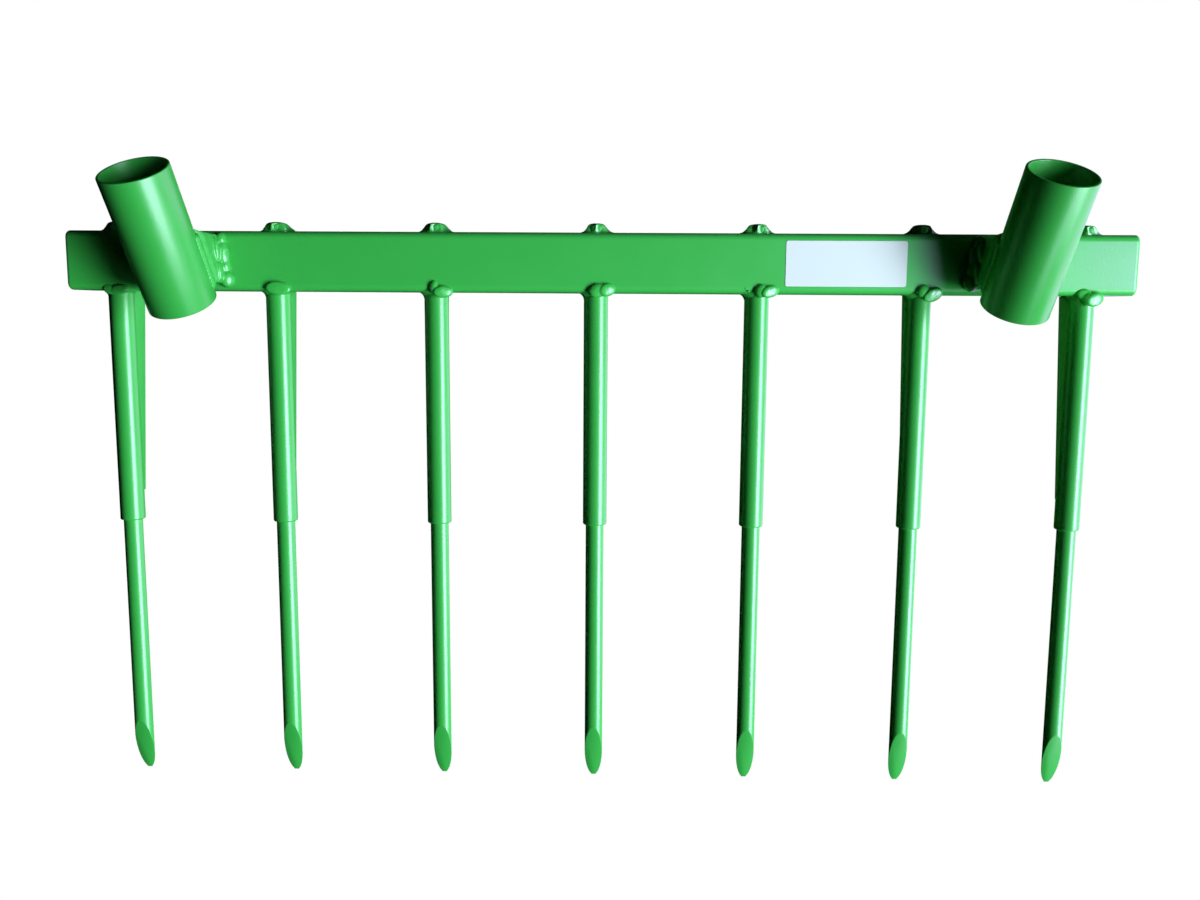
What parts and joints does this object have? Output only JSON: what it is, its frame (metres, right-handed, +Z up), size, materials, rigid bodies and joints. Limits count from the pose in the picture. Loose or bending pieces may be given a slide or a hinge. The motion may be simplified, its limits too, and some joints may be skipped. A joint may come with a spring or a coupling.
{
  "type": "broadfork head",
  "caption": "Broadfork head: square welded beam with a row of straight bevel-pointed tines, sleeved and gusseted at the top, and leaning tubular sockets for wooden handles.",
  "frame": {"origin": "centre of the bounding box in X and Y, at the height of the tine points", "axes": "+X along the beam to the right as seen from the sockets' side, +Y from the sockets to the beam's rear, +Z up from the tine points to the beam"},
  "size_m": [0.718, 0.1222, 0.4292],
  "materials": {
    "green_paint": "satin powder coat over welded steel",
    "label_white": "blank vinyl sticker"
  },
  "bodies": {
    "root": {"beam": "green_paint", "end_cap_left": "green_paint", "end_cap_right": "green_paint", "handle_socket_left": "green_paint", "handle_socket_right": "green_paint", "socket_weld_left": "green_paint", "socket_weld_right": "green_paint", "tine_1": "green_paint", "tine_2": "green_paint", "tine_3": "green_paint", "tine_4": "green_paint", "tine_5": "green_paint", "tine_6": "green_paint", "tine_7": "green_paint", "tine_sleeve_1": "green_paint", "tine_sleeve_2": "green_paint", "tine_sleeve_3": "green_paint", "tine_sleeve_4": "green_paint", "tine_sleeve_5": "green_paint", "tine_sleeve_6": "green_paint", "tine_sleeve_7": "green_paint", "tine_gusset_1": "green_paint", "tine_gusset_2": "green_paint", "tine_gusset_3": "green_paint", "tine_gusset_4": "green_paint", "tine_gusset_5": "green_paint", "tine_gusset_6": "green_paint", "tine_gusset_7": "green_paint", "top_weld_1": "green_paint", "top_weld_2": "green_paint", "top_weld_3": "green_paint", "top_weld_4": "green_paint", "top_weld_5": "green_paint", "top_weld_6": "green_paint", "top_weld_7": "green_paint", "bottom_weld_1": "green_paint", "bottom_weld_2": "green_paint", "bottom_weld_3": "green_paint", "bottom_weld_4": "green_paint", "bottom_weld_5": "green_paint", "bottom_weld_6": "green_paint", "bottom_weld_7": "green_paint", "label": "label_white"}
  },
  "joints": []
}
